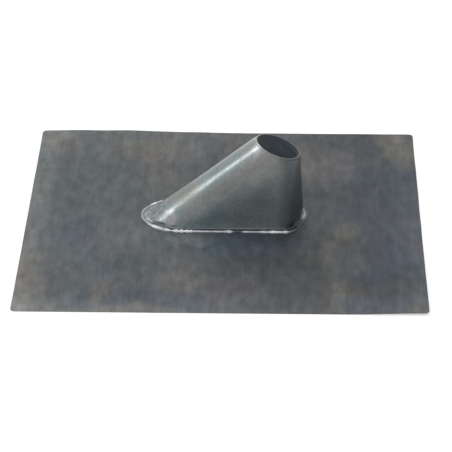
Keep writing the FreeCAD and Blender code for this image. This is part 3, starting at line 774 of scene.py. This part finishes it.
def seen_rays(tree, low, high):
    # The high value for rays that show the background, straight from the camera or by way of metal or glass,
    # and the low one for the rest
    path = tree.nodes.new("ShaderNodeLightPath")
    shown = path.outputs["Is Camera Ray"]
    for name in ("Is Glossy Ray", "Is Transmission Ray"):
        most = tree.nodes.new("ShaderNodeMath")
        most.operation = "MAXIMUM"
        tree.links.new(shown, most.inputs[0])
        tree.links.new(path.outputs[name], most.inputs[1])
        shown = most.outputs[0]
    scaled = tree.nodes.new("ShaderNodeMapRange")
    scaled.inputs["To Min"].default_value = low
    scaled.inputs["To Max"].default_value = high
    tree.links.new(shown, scaled.inputs["Value"])
    return scaled.outputs["Result"]


def add_floor():
    material = bpy.data.materials.new("pale_floor")
    material.use_nodes = True
    tree = material.node_tree
    surface = tree.nodes["Principled BSDF"]
    surface.inputs["Base Color"].default_value = rgb(FLOOR_COLOUR, FLOOR_COLOUR, FLOOR_COLOUR)
    surface.inputs["Roughness"].default_value = FLOOR_ROUGH
    surface.inputs["Specular IOR Level"].default_value = 0.0
    surface.inputs["Emission Color"].default_value = WHITE
    tree.links.new(seen_rays(tree, 0.0, FLOOR_GLOW), surface.inputs["Emission Strength"])
    mesh = bpy.data.meshes.new("floor")
    corners = [(-1, -1), (1, -1), (1, 1), (-1, 1)]
    mesh.from_pydata([(x * FLOOR_HALF, y * FLOOR_HALF, -FLOOR_DROP) for x, y in corners], [], [(0, 1, 2, 3)])
    mesh.materials.append(material)
    floor = bpy.data.objects.new("floor", mesh)
    bpy.context.scene.collection.objects.link(floor)


def add_world():
    world = bpy.data.worlds.new("studio")
    world.use_nodes = True
    bpy.context.scene.world = world
    background = world.node_tree.nodes["Background"]
    background.inputs["Color"].default_value = WHITE
    world.node_tree.links.new(seen_rays(world.node_tree, FILL, 1.0), background.inputs["Strength"])


def add_lamp(name, place, watts, width):
    data = bpy.data.lights.new(name, "AREA")
    data.energy = watts
    data.shape = "DISK"
    data.size = width
    lamp = bpy.data.objects.new(name, data)
    lamp.location = place
    lamp.rotation_euler = (LIGHT_AIM - place).to_track_quat("-Z", "Y").to_euler()
    bpy.context.scene.collection.objects.link(lamp)


def add_light():
    way, up = math.radians(KEY_WAY), math.radians(KEY_UP)
    towards = Vector((math.cos(way) * math.cos(up), math.sin(way) * math.cos(up), math.sin(up)))
    add_lamp("key", LIGHT_AIM + towards * KEY_FAR, KEY_WATTS, KEY_WIDTH)
    add_lamp("top", TOP_PLACE, TOP_WATTS, TOP_WIDTH)


# Solved from the sheet's four corners in the photograph
CAMERA_PLACE = Vector((0.06298, -3.05672, 1.57517))
CAMERA_DOWN, CAMERA_LEFT = 27.442, 1.128
FOCAL_PIXELS, IMAGE_PIXELS, SENSOR_WIDTH = 2704.3, 452, 36.0
CLIP_END = 50.0


def add_camera():
    data = bpy.data.cameras.new("camera")
    data.sensor_fit = "HORIZONTAL"
    data.sensor_width = SENSOR_WIDTH
    data.lens = SENSOR_WIDTH * FOCAL_PIXELS / IMAGE_PIXELS
    data.clip_end = CLIP_END
    camera = bpy.data.objects.new("camera", data)
    camera.location = CAMERA_PLACE
    camera.rotation_euler = (math.radians(QUARTER_TURN - CAMERA_DOWN), 0, math.radians(CAMERA_LEFT))
    bpy.context.scene.collection.objects.link(camera)
    bpy.context.scene.camera = camera


stations = sleeve_stations()
sheet_zinc, sleeve_zinc, inside_zinc, solder = weathered_sheet_with_painted_light(), worn_sleeve_with_painted_light(), dirty_inside_with_painted_shade(), run_solder()
add_piece("sheet", loop_mesh("sheet", sheet_rows(stations)), [sheet_zinc], "base_plate")
add_piece("folded_sleeve", loop_mesh("folded_sleeve", sleeve_rows(stations), INSIDE_ROWS),
          [sleeve_zinc, inside_zinc], "sleeve")
add_piece("lapped_end", strip_mesh("lapped_end", lap_columns, LAP_RUN),
          [sleeve_zinc], "sleeve")
add_piece("flange_bead", loop_mesh("flange_bead", bead_rows(stations)), [solder], "flange_solder")
add_piece("seam_bead", strip_mesh("seam_bead", seam_bead_columns, SEAM_BEAD_RUN),
          [solder], "lap_solder")
add_floor()
add_world()
add_light()
add_camera()
bpy.context.scene.view_settings.view_transform = "Standard"
